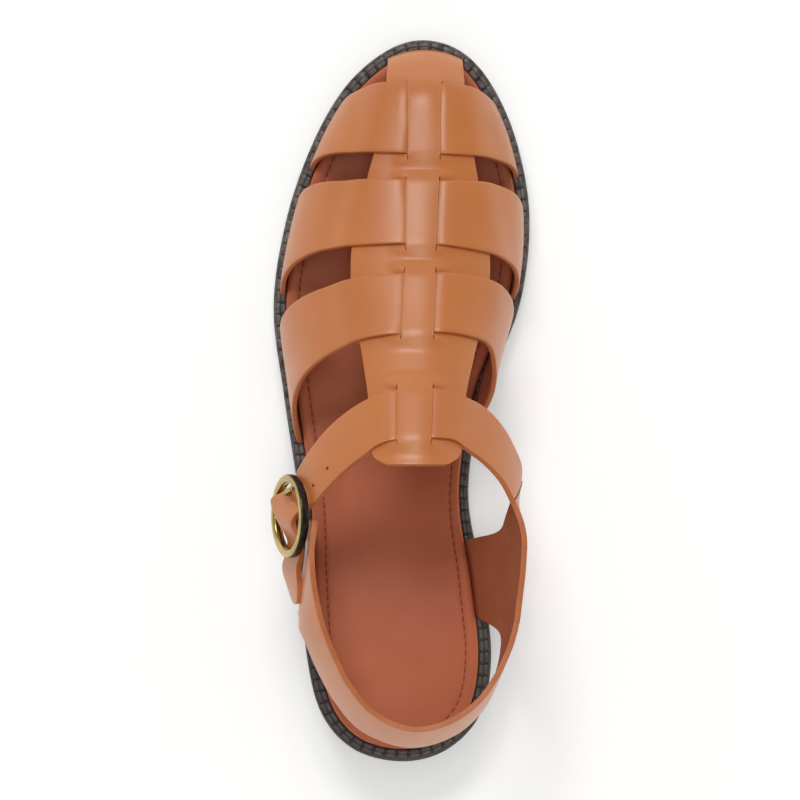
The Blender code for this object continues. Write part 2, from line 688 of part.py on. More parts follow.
# pin hole in the billet, where the prong comes through
bpy.ops.mesh.primitive_cylinder_add(vertices=10, radius=PRONG_HOLE, depth=RING_RADIUS,
                                    location=in_ring(PRONG[2][0], PRONG[2][1], -0.36 * OVER),
                                    rotation=(0, -RING_TILT, 0))
combine(upper, take("cutter"), "DIFFERENCE")

# loop: leather folded round the centre bar, slotted for the eye, its tab on the quarter
SLEEVE = 0.25            # half its length along the bar, of RING_RADIUS


def sleeve(name, thick, half):
    return bar(name, [in_ring(0, half * k / 2, -BAR_SINK) for k in (-2, 0, 2)], thick, 12)


def ring_box(front, up, out, turn=0.0):
    """Box in the ring's frame between two limits each way, in metres, turned about front."""
    middle = [(low + high) / 2 for low, high in (front, up, out)]
    place = in_ring(middle[0] / RING_RADIUS, middle[1] / RING_RADIUS, middle[2])
    bpy.ops.mesh.primitive_cube_add(size=1, location=place, rotation=(0, -RING_TILT - turn, 0),
                                    scale=[high - low for low, high in (up, front, out)])
    return take("box")


buckle_loop = sleeve("buckle_loop", CENTRE_BAR + GAP + SLEEVE_WALL, SLEEVE)
HALF_LOOP = SLEEVE * RING_RADIUS
tab_at = -BAR_SINK - TAB_SINK
tab = ring_box((-TAB_REACH, 0.2 * CENTRE_BAR), (-0.97 * HALF_LOOP, 0.97 * HALF_LOOP),
               (tab_at - TAB_THICK / 2, tab_at + TAB_THICK / 2), TAB_TURN)
combine(buckle_loop, tab, "UNION")
combine(buckle_loop, sleeve("cutter", CENTRE_BAR + GAP, 1.3 * SLEEVE), "DIFFERENCE")
SLOT = PRONG_BAR + GAP
combine(buckle_loop, ring_box((-EYE - SLOT, 2 * EYE), (-SLOT, SLOT), (-2 * RING_BAR - BAR_SINK, 0)),
        "DIFFERENCE")

# the origin goes to the middle of the shoe's box, on the floor
shoe = [outsole, heel_block, midsole, welt, insole, upper, buckle_ring, buckle_prong, buckle_loop]
for item in shoe:
    item.data.transform(item.matrix_world)
    item.matrix_world = Matrix.Identity(4)
corners = [vertex.co for item in shoe for vertex in item.data.vertices]
lowest = [min(corner[k] for corner in corners) for k in range(3)]
highest = [max(corner[k] for corner in corners) for k in range(3)]
SHIFT = Vector(((lowest[0] + highest[0]) / 2, (lowest[1] + highest[1]) / 2, lowest[2]))

# finish of each piece: colour, roughness, metallic
FINISHES = {
    "outsole": ("#2b2522", 0.75, 0.0),
    "heel_block": ("#26211f", 0.75, 0.0),
    "midsole": ("#3a302b", 0.7, 0.0),
    "welt": ("#4a403b", 0.55, 0.0),
    "insole": ("#a35c3f", 0.5, 0.0),
    "upper": ("#c47a48", 0.4, 0.0),
    "buckle_ring": ("#8f7a4e", 0.3, 1.0),
    "buckle_prong": ("#b59a58", 0.3, 1.0),
    "buckle_loop": ("#b9764a", 0.45, 0.0),
}


def linear(hexa):
    """sRGB hex colour as linear values."""
    parts = [int(hexa[k:k + 2], 16) / 255 for k in (1, 3, 5)]
    return [p / 12.92 if p <= 0.04045 else ((p + 0.055) / 1.055) ** 2.4 for p in parts]


group = bpy.data.collections.new("fisherman_sandal")
bpy.context.scene.collection.children.link(group)
for item in shoe:
    colour, roughness, metallic = FINISHES[item.name]
    finish = bpy.data.materials.new(item.name + "_finish")
    finish.use_nodes = True
    shader = finish.node_tree.nodes["Principled BSDF"]
    shader.inputs["Base Color"].default_value = (*linear(colour), 1)
    shader.inputs["Roughness"].default_value = roughness
    shader.inputs["Metallic"].default_value = metallic
    item.data.transform(Matrix.Translation(-SHIFT))
    item.data.materials.clear()
    item.data.materials.append(finish)
    item.data.shade_smooth()
    item.data.set_sharp_from_angle(angle=math.radians(35))
    for holder in list(item.users_collection):
        holder.objects.unlink(item)
    group.objects.link(item)
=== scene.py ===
"""Fisherman sandal, left shoe, in tan calf with a woven strap front and a round brass buckle."""
import math
import bpy
from mathutils import Matrix, Vector


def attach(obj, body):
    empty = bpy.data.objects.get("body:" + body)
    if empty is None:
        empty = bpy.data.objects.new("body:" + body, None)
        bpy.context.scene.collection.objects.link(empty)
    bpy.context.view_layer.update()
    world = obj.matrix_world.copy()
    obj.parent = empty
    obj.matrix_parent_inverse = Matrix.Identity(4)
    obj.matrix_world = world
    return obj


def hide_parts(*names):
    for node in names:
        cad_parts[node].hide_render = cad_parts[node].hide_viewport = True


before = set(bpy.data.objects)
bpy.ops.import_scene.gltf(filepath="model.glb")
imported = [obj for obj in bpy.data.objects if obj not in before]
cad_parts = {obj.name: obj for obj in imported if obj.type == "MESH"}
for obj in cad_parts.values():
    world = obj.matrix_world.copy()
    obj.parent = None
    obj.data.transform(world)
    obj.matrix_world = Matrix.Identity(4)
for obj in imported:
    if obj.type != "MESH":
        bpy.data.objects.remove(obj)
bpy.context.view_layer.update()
bpy.ops.object.select_all(action="DESELECT")

MM = 0.001
HALF_LENGTH = 0.1328     # half the outsole's length
HALF_BALL = 0.0475       # half the outsole's width at the ball
HEEL_TOP = 0.0285        # welt's top above the floor at the heel
INSTEP_RISE = 0.060      # the last above the welt at the instep
RIM_TOP = 0.084          # collar's rim above the floor at the heel
STRAP_TOP = 0.090        # instep strap above the floor at its highest
GAP = 0.0003
WELT_THICK = 0.0027
MID_THICK = 0.0033
INSOLE_RISE = 0.0032
INSOLE_INSET = 0.0048
LEATHER = 0.0020
RIB = 0.0009
LUG_DEEP = 0.0040
LUG_GROOVE = 0.0036
LUG_REACH = 0.013
LUG_PITCH = 0.013
RING_RADIUS = 0.0135
RING_BAR = 0.0016
RING_TILT = math.radians(67)
RING_AT = Vector((-0.842 * HALF_BALL, -0.314 * HALF_LENGTH, 0.717 * STRAP_TOP))
CENTRE_BAR = 0.0010
BAR_SINK = 0.0033
PRONG_BAR = 0.00085
SLEEVE_WALL = 0.0008
TAB_REACH = 0.0092
TAB_THICK = 0.0015
TAB_SINK = 0.00215
TAB_TURN = math.radians(10)
TOE_SETBACK = 0.0013     # the centre strap's skived toe end behind the insole's edge
STRAP_LIFT = 0.9 * LEATHER       # a crossing strap over the centre strap's margins
SLOT_DIP = 0.0017        # width in which a crossing strap goes down beside a slot
MARGIN_FALL = 0.009      # width in which it comes down outside the centre strap
BAND_AHEAD, BAND_RISE = 0.050, 0.060      # the band's rise before a crossing, of HALF_LENGTH
BAND_BEHIND, BAND_FALL = 0.055, 0.065     # and its fall behind one
FOOT_TUCK = 0.0006       # how far a strap's foot goes below the welt's top
BED_DIP = 0.00055        # the footbed inside its stitched edge, and as much again in its middle
TENT_REACH = 0.006       # how far the margins are drawn up beside the band
WELT_PITCH = 0.0044
WELT_STITCH_IN = 0.0025
STITCH_PITCH = 0.0031
STITCH_INSET = 0.0095
FIBRE_PITCH = 0.0011
HOLE_RADIUS = 0.0006
HOLES = [(-0.0269, -0.0233), (-0.0324, -0.0305)]     # billet holes in plan
SEAM_ROW, SEAM_STITCHES = 139, 12                    # row of the long strap that is sewn
MIDDLE = Vector((0.000253, 0, 0))    # the tables' middle to the middle of the shoe's box

# Sole outline: 13 stations, heel back to toe tip, y = -HALF_LENGTH * cos(15 deg * station).
# columns: lateral x, medial x, shares of HALF_BALL
OUTLINE = [
    (0.015, 0.015),
    (-0.366, 0.364),
    (-0.615, 0.619),
    (-0.728, 0.701),
    (-0.771, 0.636),
    (-0.800, 0.526),
    (-0.905, 0.642),
    (-0.992, 0.924),
    (-0.895, 1.006),
    (-0.697, 0.914),
    (-0.444, 0.728),
    (-0.133, 0.484),
    (0.171, 0.171),
]

# Side profile of the sole. columns: y of HALF_LENGTH, welt's top and underside of HEEL_TOP
PROFILE = [
    (-1.01, 1.004, 0.467),
    (-0.83, 0.982, 0.467),
    (-0.64, 0.954, 0.467),
    (-0.50, 0.898, 0.467),
    (-0.38, 0.828, 0.351),
    (-0.19, 0.698, 0.161),
    (-0.04, 0.607, 0.032),
    (0.07, 0.554, 0.000),
    (0.26, 0.498, 0.000),
    (0.45, 0.491, 0.000),
    (0.59, 0.509, 0.014),
    (0.72, 0.554, 0.067),
    (0.87, 0.639, 0.179),
    (1.01, 0.751, 0.316),
]
HEEL_THICK = PROFILE[0][2] * HEEL_TOP - GAP

# The last over the welt. columns: y of HALF_LENGTH, ridge x of HALF_BALL, ridge height of
# INSTEP_RISE, lateral and medial bulge of HALF_BALL, fullness
LAST = [
    (-0.34, 0.114, 1.267, 0.105, 0.505, 0.55),
    (-0.19, 0.118, 1.175, 0.095, 0.421, 0.55),
    (-0.04, 0.126, 1.058, 0.084, 0.337, 0.55),
    (0.11, 0.137, 0.925, 0.074, 0.211, 0.56),
    (0.26, 0.145, 0.792, 0.063, 0.105, 0.58),
    (0.45, 0.156, 0.633, 0.042, 0.053, 0.60),
    (0.60, 0.173, 0.525, 0.032, 0.032, 0.62),
    (0.75, 0.189, 0.425, 0.021, 0.021, 0.62),
    (0.85, 0.194, 0.350, 0.011, 0.011, 0.60),
    (0.97, 0.194, 0.233, 0.004, 0.004, 0.60),
]
TOE_START = 0.813 * HALF_LENGTH    # the last rounds down to the toe from here
TOE_END = HALF_LENGTH - INSOLE_INSET + 0.0005
TOE_MIDDLE = 0.181 * HALF_BALL

# Cross straps. A row per girth station w, 0 at the welt and 1 at the ridge.
# columns: w, lateral front y, lateral rear y, medial front y, medial rear y of HALF_LENGTH
STRAPS = {
    "toe_strap": [
        (0.00, 0.813, 0.636, 0.806, 0.614),
        (0.25, 0.843, 0.667, 0.832, 0.644),
        (0.50, 0.860, 0.677, 0.850, 0.660),
        (0.75, 0.863, 0.673, 0.857, 0.666),
        (1.00, 0.861, 0.669, 0.861, 0.669),
    ],
    "ball_strap": [
        (0.00, 0.553, 0.290, 0.512, 0.279),
        (0.25, 0.586, 0.364, 0.563, 0.354),
        (0.50, 0.598, 0.405, 0.587, 0.388),
        (0.75, 0.598, 0.414, 0.594, 0.406),
        (1.00, 0.595, 0.419, 0.593, 0.420),
    ],
    "waist_strap": [
        (0.00, 0.177, -0.120, 0.158, -0.075),
        (0.25, 0.245, 0.015, 0.264, 0.038),
        (0.50, 0.294, 0.102, 0.313, 0.139),
        (0.75, 0.325, 0.154, 0.334, 0.169),
        (1.00, 0.339, 0.175, 0.339, 0.175),
    ],
}

# Centre strap. columns: y of HALF_LENGTH, left and right x, band's left and right x of HALF_BALL
CENTRE = [
    (-0.177, -0.095, 0.326, -0.021, 0.242),
    (-0.162, -0.175, 0.400, -0.021, 0.232),
    (-0.143, -0.198, 0.425, -0.021, 0.223),
    (-0.113, -0.206, 0.429, -0.021, 0.219),
    (-0.045, -0.219, 0.446, -0.021, 0.227),
    (0.023, -0.236, 0.472, -0.019, 0.232),
    (0.060, -0.253, 0.493, -0.013, 0.234),
    (0.120, -0.278, 0.531, 0.000, 0.236),
    (0.154, -0.299, 0.554, 0.006, 0.238),
    (0.181, -0.316, 0.573, 0.011, 0.240),
    (0.331, -0.366, 0.653, 0.032, 0.257),
    (0.361, -0.366, 0.657, 0.038, 0.259),
    (0.399, -0.362, 0.653, 0.042, 0.261),
    (0.429, -0.349, 0.640, 0.042, 0.263),
    (0.587, -0.251, 0.577, 0.046, 0.286),
    (0.614, -0.238, 0.568, 0.051, 0.291),
    (0.648, -0.211, 0.552, 0.055, 0.293),
    (0.678, -0.189, 0.539, 0.059, 0.295),
    (0.851, -0.103, 0.476, 0.063, 0.301),
    (0.881, -0.095, 0.472, 0.063, 0.303),
    (0.968, -0.080, 0.459, 0.063, 0.303),
]

# Instep strap, from the end of its billet, through the buckle and over the foot. columns: lower
# edge x, y, z, upper edge x, y, z of HALF_BALL, HALF_LENGTH and STRAP_TOP, belly of LEATHER.
# A z of 0 is worked out from the last.
INSTEP = [
    (-0.772, -0.553, 0.600, -0.760, -0.553, 0.630, 0.0),
    (-0.788, -0.547, 0.560, -0.750, -0.549, 0.655, 0.05),
    (-0.806, -0.530, 0.530, -0.745, -0.534, 0.668, 0.1),
    (-0.834, -0.500, 0.522, -0.745, -0.503, 0.680, 0.15),
    (-0.866, -0.456, 0.540, -0.752, -0.456, 0.702, 0.1),
    (-0.838, -0.416, 0.589, -0.728, -0.418, 0.733, 0.0),
    (-0.825, -0.375, 0.638, -0.743, -0.372, 0.756, 0.0),
    (-0.905, -0.321, 0.636, -0.792, -0.337, 0.758, 0.0),
    (-0.953, -0.273, 0.607, -0.771, -0.316, 0.771, 0.1),
    (-0.880, -0.258, 0.651, -0.741, -0.306, 0.787, 0.0),
    (-0.804, -0.241, 0.669, -0.695, -0.298, 0.807, 0.0),
    (-0.771, -0.212, 0.676, -0.648, -0.285, 0.827, 0.0),
    (-0.728, -0.181, 0.707, -0.598, -0.268, 0.849, 0.15),
    (-0.653, -0.139, 0.740, -0.526, -0.238, 0.871, 0.2),
    (-0.522, -0.081, 0.778, -0.404, -0.193, 0.898, 0.2),
    (-0.362, -0.032, 0.818, -0.257, -0.151, 0.929, 0.15),
    (-0.181, 0.005, 0.0, -0.131, -0.120, 0.0, 0.0),
    (0.042, 0.024, 0.0, 0.042, -0.107, 0.0, 0.0),
    (0.253, 0.025, 0.0, 0.232, -0.106, 0.0, 0.0),
    (0.442, 0.006, 0.0, 0.371, -0.110, 0.0, 0.0),
    (0.585, -0.020, 0.750, 0.484, -0.137, 0.894, 0.15),
    (0.716, -0.065, 0.706, 0.619, -0.173, 0.872, 0.2),
    (0.817, -0.125, 0.667, 0.733, -0.217, 0.851, 0.2),
    (0.884, -0.200, 0.633, 0.808, -0.265, 0.839, 0.2),
]

# Quarters and heel strap, one wall from the medial side round the heel to the lateral side.
# columns: foot's angle round the sole, rim x, y, z of HALF_BALL, HALF_LENGTH and RIM_TOP,
# belly of LEATHER, height share of the lower edge
COLLAR = [
    (72.5, 0.876, -0.321, 0.905, 1.9, 0.63),
    (69.5, 0.905, -0.364, 0.910, 1.5, 0.47),
    (67.9, 0.909, -0.392, 0.914, 1.4, 0.10),
    (67.1, 0.907, -0.407, 0.917, 1.35, 0.00),
    (63.1, 0.897, -0.459, 0.926, 1.2, 0.00),
    (58.2, 0.876, -0.523, 0.936, 1.1, 0.00),
    (53.8, 0.855, -0.584, 0.944, 1.1, 0.00),
    (52.6, 0.846, -0.599, 0.946, 1.1, 0.14),
    (50.5, 0.829, -0.625, 0.950, 1.1, 0.46),
    (46.2, 0.787, -0.670, 0.957, 1.1, 0.57),
    (39.0, 0.699, -0.735, 0.969, 1.2, 0.60),
    (29.0, 0.560, -0.803, 0.983, 1.3, 0.62),
    (15.5, 0.345, -0.855, 0.995, 1.4, 0.63),
    (0.0, 0.088, -0.873, 1.000, 1.4, 0.63),
    (-15.5, -0.173, -0.836, 0.995, 1.4, 0.63),
    (-28.0, -0.358, -0.764, 0.983, 1.4, 0.62),
    (-38.0, -0.468, -0.690, 0.971, 1.9, 0.60),
    (-45.5, -0.545, -0.622, 0.960, 2.5, 0.57),
    (-49.8, -0.583, -0.580, 0.952, 2.8, 0.44),
    (-52.2, -0.600, -0.551, 0.948, 2.6, 0.12),
    (-53.4, -0.608, -0.539, 0.945, 2.4, 0.00),
    (-59.2, -0.636, -0.474, 0.940, 1.5, 0.00),
    (-64.6, -0.646, -0.407, 0.936, 0.55, 0.00),
    (-67.9, -0.631, -0.358, 0.931, 0.45, 0.00),
    (-69.1, -0.627, -0.342, 0.924, 0.45, 0.10),
    (-70.4, -0.622, -0.325, 0.910, 0.45, 0.46),
]


def smooth(rows, column, at):
    """Cubic through one column of rows that are sorted by their first column."""
    at = min(max(at, rows[0][0]), rows[-1][0])
    k = 0
    while k < len(rows) - 2 and rows[k + 1][0] < at:
        k += 1
    x0, x1 = rows[k][0], rows[k + 1][0]
    y0, y1 = rows[k][column], rows[k + 1][column]
    step = x1 - x0
    secant = (y1 - y0) / step
    before = (y0 - rows[k - 1][column]) / (x0 - rows[k - 1][0]) if k else secant
    at_end = k + 2 >= len(rows)
    after = secant if at_end else (rows[k + 2][column] - y1) / (rows[k + 2][0] - x1)
    m0 = 0.0 if before * secant <= 0 else (before + secant) / 2
    m1 = 0.0 if after * secant <= 0 else (after + secant) / 2
    t = (at - x0) / step
    return ((1 + 2 * t) * (1 - t) ** 2 * y0 + t * (1 - t) ** 2 * step * m0
            + t * t * (3 - 2 * t) * y1 + t * t * (t - 1) * step * m1)


def catmull(a, b, c, d, t):
    """Point on the curve from b to c."""
    return 0.5 * (2 * b + (c - a) * t + (2 * a - 5 * b + 4 * c - d) * t * t
                  + (3 * b - a - 3 * c + d) * t ** 3)


ROUND_X = [row[1] for row in OUTLINE] + [row[0] for row in OUTLINE[11:0:-1]]


def plain_rim(angle):
    """Sole outline. Angle 0 is the heel's back, 90 deg the medial side, 180 deg the toe."""
    place = (angle / (2 * math.pi) * 24) % 24
    k = int(place)
    x = catmull(*[ROUND_X[(k + j) % 24] for j in (-1, 0, 1, 2)], place - k)
    return Vector((x * HALF_BALL, -HALF_LENGTH * math.cos(angle), 0))


def rim(angle, inset):
    ahead = plain_rim(angle + 0.01) - plain_rim(angle - 0.01)
    outside = Vector((ahead.y, -ahead.x, 0)).normalized()
    # the shank's medial side has a narrower border
    shank = math.exp(-((math.degrees(angle) - 78) / 16) ** 2)
    return plain_rim(angle) - outside * inset * (1 - 0.28 * shank)


def foot_x(side, y, inset):
    """x of the inset outline at y, side -1 lateral or 1 medial."""
    low, high = 0.02, math.pi - 0.02
    for _ in range(30):
        middle = (low + high) / 2
        if rim(side * middle, inset).y < y:
            low = middle
        else:
            high = middle
    return rim(side * low, inset).x


def welt_top(y):
    return smooth(PROFILE, 1, y / HALF_LENGTH) * HEEL_TOP


def ground(y):
    return smooth(PROFILE, 2, y / HALF_LENGTH) * HEEL_TOP


def last_height(y):
    height = smooth(LAST, 2, y / HALF_LENGTH) * INSTEP_RISE
    if y > TOE_START:
        share = min((y - TOE_START) / (TOE_END - TOE_START), 1)
        height *= (1 - share ** 2.2) ** 0.5
    return height


def ridge_x(y):
    return smooth(LAST, 1, y / HALF_LENGTH) * HALF_BALL


FEET = {}


def last_foot(side, y):
    key = (side, round(y * 4000))
    if key not in FEET:
        FEET[key] = foot_x(side, key[1] / 4000, INSOLE_INSET - GAP)
    return FEET[key]


def last(side, y, w):
    """Point on the last: w 0 at the welt, 1 at the ridge."""
    foot, ridge = last_foot(side, y), ridge_x(y)
    bulge = side * smooth(LAST, 3 if side < 0 else 4, y / HALF_LENGTH) * HALF_BALL
    full = smooth(LAST, 5, y / HALF_LENGTH)
    shares = ((1 - w) ** 3, 3 * (1 - w) ** 2 * w, 3 * (1 - w) * w * w, w ** 3)
    across = (foot, foot + bulge, ridge + full * (foot + bulge - ridge), ridge)
    x = sum(a * b for a, b in zip(shares, across))
    height = last_height(y) * (0.55 * shares[1] + shares[2] + shares[3])
    return Vector((x, y, welt_top(y) + GAP + height))


def toe_bow(x, y):
    """How far the toe end of the centre strap lies behind its middle."""
    off = (x - TOE_MIDDLE) / HALF_BALL
    return 0.323 * HALF_LENGTH * off ** 2 * min(max((y / HALF_LENGTH - 0.72) / 0.2, 0), 1)


def on_last(x, y):
    """Point on the last near the ridge, where x is its plan position and y its distance back."""
    section = min(y, TOE_START)
    side = -1 if x < ridge_x(y) else 1
    low, high = 0.0, 1.0
    for _ in range(26):
        middle = (low + high) / 2
        if (last(side, section, middle).x - x) * side > 0:
            low = middle
        else:
            high = middle
    crown = (last(side, section, low).z - welt_top(section) - GAP) / last_height(section)
    place = y - toe_bow(x, y)
    return Vector((x, place, welt_top(place) + GAP + crown * last_height(y)))


def ease(t):
    t = min(max(t, 0), 1)
    return t * t * (3 - 2 * t)


def take(name):
    item = bpy.context.object
    item.name = name
    return item


def change(item, kind, **settings):
    """Adds a modifier and applies it."""
    added = item.modifiers.new(kind.lower(), kind)
    for key, value in settings.items():
        setattr(added, key, value)
    bpy.context.view_layer.objects.active = item
    bpy.ops.object.modifier_apply(modifier=added.name)


def edit(item, *steps):
    """Runs mesh operators on all of a piece."""
    bpy.ops.object.select_all(action="DESELECT")
    item.select_set(True)
    bpy.context.view_layer.objects.active = item
    bpy.ops.object.mode_set(mode="EDIT")
    bpy.ops.mesh.select_all(action="SELECT")
    for step in steps:
        step()
    bpy.ops.object.mode_set(mode="OBJECT")


def weld():
    bpy.ops.mesh.remove_doubles(threshold=0.00002)


def join(name, items):
    bpy.ops.object.select_all(action="DESELECT")
    for item in items:
        item.select_set(True)
    bpy.context.view_layer.objects.active = items[0]
    bpy.ops.object.join()
    return take(name)


def surface(name, grid):
    """A grid drawn onto rows of points; rows or columns that meet are welded."""
    rows, columns = len(grid), len(grid[0])
    bpy.ops.mesh.primitive_grid_add(x_subdivisions=columns - 1, y_subdivisions=rows - 1, size=1)
    item = take(name)
    for i, row in enumerate(grid):
        for j, point in enumerate(row):
            item.data.vertices[i * columns + j].co = point + MIDDLE
    edit(item, weld)
    return item


def lifted(grid, lift):
    """Rows of a strap moved outward by lift(point, how near it is to the strap's edge)."""
    rows, columns, moved = len(grid), len(grid[0]), []
    edges = [ease((abs(2 * j / (columns - 1) - 1) - 0.55) / 0.45) for j in range(columns)]
    for i in range(rows):
        line = []
        for j in range(columns):
            along = grid[min(i + 1, rows - 1)][j] - grid[max(i - 1, 0)][j]
            across = grid[i][min(j + 1, columns - 1)] - grid[i][max(j - 1, 0)]
            point = grid[i][j] + along.cross(across).normalized() * lift(grid[i][j], edges[j])
            point.z = max(point.z, welt_top(point.y) - FOOT_TUCK)
            line.append(point)
        moved.append(line)
    return moved


def leather_wall(item, levels=1, thick=LEATHER):
    """Smooths a strap's inner face, gives it thickness outward and rounds its cut edges."""
    change(item, "SUBSURF", levels=levels, boundary_smooth="PRESERVE_CORNERS")
    for finish in (lining, calf, cut_edge):
        item.data.materials.append(finish)
    change(item, "SOLIDIFY", thickness=thick, offset=-1, material_offset=1, material_offset_rim=2)
    change(item, "BEVEL", width=0.0005, segments=3, limit_method="ANGLE", angle_limit=0.9)
    item.data.shade_smooth()
    return item


def linear(hexa):
    """sRGB hex colour as linear values."""
    parts = [int(hexa[k:k + 2], 16) / 255 for k in (1, 3, 5)]
    return [*(p / 12.92 if p <= 0.04045 else ((p + 0.055) / 1.055) ** 2.4 for p in parts), 1]


def add(tree, kind, inputs=None, **settings):
    """Adds a node; an input is a value, or the output that feeds it."""
    made = tree.nodes.new("ShaderNode" + kind)
    for key, value in settings.items():
        setattr(made, key, value)
    for key, value in (inputs or {}).items():
        if isinstance(value, bpy.types.NodeSocket):
            tree.links.new(value, made.inputs[key])
        else:
            made.inputs[key].default_value = value
    return made


def material(name, colour, other, patch, grain, depth, rough, spread=0.05, heel=0.0, **shine):
    """Finish with two colours in soft patches and a fine grain. Sizes in metres.

    heel is how far the second colour takes over toward the shoe's heel, a painted shade that darkens that
    end."""
    made = bpy.data.materials.new(name)
    made.use_nodes = True
    tree = made.node_tree
    shader = tree.nodes["Principled BSDF"]
    place = add(tree, "TexCoord").outputs["Object"]
    clouds = add(tree, "TexNoise", {"Vector": place, "Scale": 1 / patch, "Detail": 3.0})
    tone = add(tree, "MapRange", {"Value": clouds.outputs["Fac"], "From Min": 0.35, "From Max": 0.65})
    # painted shade: toward the heel the second colour takes over, as far as heel says
    back = add(tree, "MapRange", {"Value": add(tree, "SeparateXYZ", {0: place}).outputs["Y"],
                                  "From Min": 0.02, "From Max": -0.06, "To Min": 0.0, "To Max": heel})
    share = add(tree, "Math", {0: tone.outputs["Result"], 1: back.outputs["Result"]},
                operation="MAXIMUM")
    mix = add(tree, "Mix", {"Factor": share.outputs[0]}, data_type="RGBA")
    mix.inputs[6].default_value, mix.inputs[7].default_value = linear(colour), linear(other)
    tree.links.new(mix.outputs[2], shader.inputs["Base Color"])
    fine = add(tree, "TexNoise", {"Vector": place, "Scale": 1 / grain, "Detail": 4.0})
    cells = add(tree, "TexVoronoi", {"Vector": place, "Scale": 0.6 / grain})
    height = add(tree, "Math", {0: fine.outputs["Fac"], 1: cells.outputs["Distance"]}, operation="ADD")
    bump = add(tree, "Bump", {"Height": height.outputs[0], "Strength": 1.0, "Distance": depth})
    tree.links.new(bump.outputs["Normal"], shader.inputs["Normal"])
    dull = add(tree, "MapRange", {"Value": clouds.outputs["Fac"], "From Min": 0.3, "From Max": 0.7,
                                  "To Min": rough - spread, "To Max": rough + spread})
    tree.links.new(dull.outputs["Result"], shader.inputs["Roughness"])
    for key, value in shine.items():
        shader.inputs[key.replace("_", " ").title().replace("Ior", "IOR")].default_value = value
    return made


# smooth full-grain calf, aniline dyed and lightly waxed: even tan with a low satin shine
calf = material("waxed_tan_calf", "#c57437", "#be6d31", 0.03, 0.0006, 0.00002, 0.45,
                coat_weight=0.35, coat_roughness=0.28)
# the same hide's cut edge, burnished and inked
cut_edge = material("burnished_edge", "#bd6c39", "#b36232", 0.01, 0.0004, 0.00003, 0.5)
# undyed fibre that shows where the slots are cut
raw_edge = material("undyed_leather_fibre", "#cfa47c", "#c0946c", 0.004, 0.0003, 0.00003, 0.7)
# vegetable-tanned pigskin lining: redder, close to matt
lining = material("veg_tan_lining", "#ae6441", "#a45a39", 0.02, 0.0008, 0.00003, 0.6)
# the footbed's sock: lining leather glazed by finishing
sock = material("glazed_sock_leather", "#bd6845", "#b45f3c", 0.04, 0.0007, 0.00002, 0.5,
                specular_ior_level=0.3)
# waxed linen thread, a shade under the leather
thread = material("waxed_thread", "#7d412a", "#6d3723", 0.004, 0.0003, 0.00003, 0.6)
# injection-moulded welt rubber: brown black, worn grey in patches, with painted shade that darkens it
# toward the heel and leaves the toe end lighter where light falls
welt_rubber = material("moulded_welt_rubber", "#6f6862", "#3f3733", 0.003, 0.0007, 0.00006, 0.45, 0.1,
                       heel=0.85)
# dense black sole rubber
black_rubber = material("black_sole_rubber", "#24201f", "#1b1918", 0.01, 0.0006, 0.00004, 0.6)
# zinc casting plated in brass: lighter on the ring's face, darker on its outer side
bright_brass = material("lighter_brass", "#c2ab6e", "#ab955a", 0.008, 0.0005, 0.00001, 0.22,
                        metallic=1.0)
dark_brass = material("darker_brass", "#4b443a", "#2f2a24", 0.003, 0.0005, 0.00002, 0.35,
                      metallic=1.0)


def loop(inset, height, count=256):
    """Closed loop of points at an inset; height is a function of y."""
    points = [rim(2 * math.pi * k / count, inset) for k in range(count)]
    points.append(points[0])
    return [Vector((p.x, p.y, height(p.y))) for p in points]


def to_spine(ring, share, height):
    """A loop drawn in toward the shoe's middle line."""
    result, count = [], len(ring) - 1
    for k, point in enumerate(ring):
        y = -HALF_LENGTH * math.cos(2 * math.pi * k / count)
        y = min(max(y, -0.77 * HALF_LENGTH), 0.77 * HALF_LENGTH)
        middle = (last_foot(-1, y) + last_foot(1, y)) / 2
        inner = point.lerp(Vector((middle, y, 0)), share)
        result.append(Vector((inner.x, inner.y, height(inner.y))))
    return result


def solid(name, loops, under, over):
    """Loops bottom to top, with a floor and a top drawn in to the middle line."""
    low = [to_spine(loops[0], share, under) for share in (1, 0.7, 0.4, 0.15)]
    high = [to_spine(loops[-1], share, over) for share in (0.15, 0.4, 0.7, 1)]
    item = surface(name, low + loops + high)
    item.data.shade_smooth()
    item.data.set_sharp_from_angle(angle=math.radians(50))
    return item


def out_top(y):
    return welt_top(y) - WELT_THICK - MID_THICK - 2 * GAP


def out_at(share):
    return lambda y: ground(y) + share * (out_top(y) - ground(y))


def groove(x, y, along, across, turn, low, high):
    """Box cutter centred on x, y and turned in plan by an angle in degrees."""
    bpy.ops.mesh.primitive_cube_add(size=1, location=(x + MIDDLE.x, y, (low + high) / 2),
                                    rotation=(0, 0, math.radians(turn)),
                                    scale=(along, across, high - low))
    return take("cutter")


def cut(item, cutters):
    """Takes the joined cutters out of a piece."""
    tool = join("cutter", cutters)
    change(item, "BOOLEAN", operation="DIFFERENCE", solver="EXACT", object=tool, use_self=True)
    bpy.data.objects.remove(tool, do_unlink=True)


